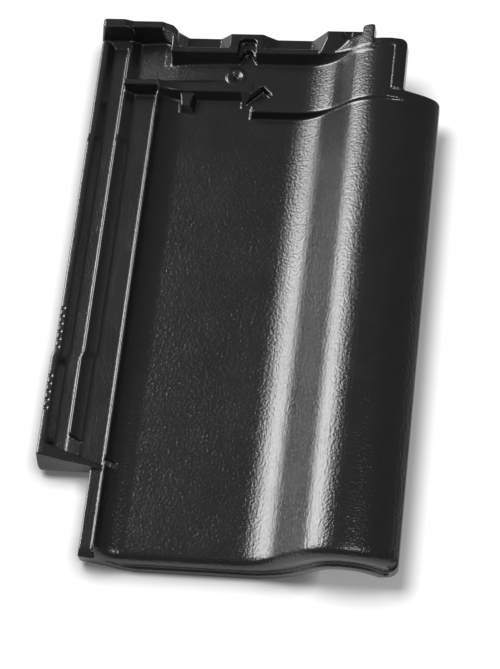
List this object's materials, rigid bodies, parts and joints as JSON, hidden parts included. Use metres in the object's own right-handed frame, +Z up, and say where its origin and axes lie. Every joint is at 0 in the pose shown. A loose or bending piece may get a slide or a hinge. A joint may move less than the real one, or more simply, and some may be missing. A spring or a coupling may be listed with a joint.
{
  "type": "roof tile",
  "caption": "Interlocking pressed-clay roof tile with a flat pan, a rounded roll, a grooved side lock and a raised head lock, in black engobe.",
  "frame": {"origin": "centre of the tile's bounding box, on the ground that it lies on", "axes": "+X across the tile from the side lock to the roll, +Y up the slope from the foot to the head, +Z up from the face"},
  "size_m": [0.2738, 0.44, 0.0532],
  "materials": {
    "engobe": "satin"
  },
  "bodies": {
    "root": {"roof_tile": "engobe"}
  },
  "joints": []
}
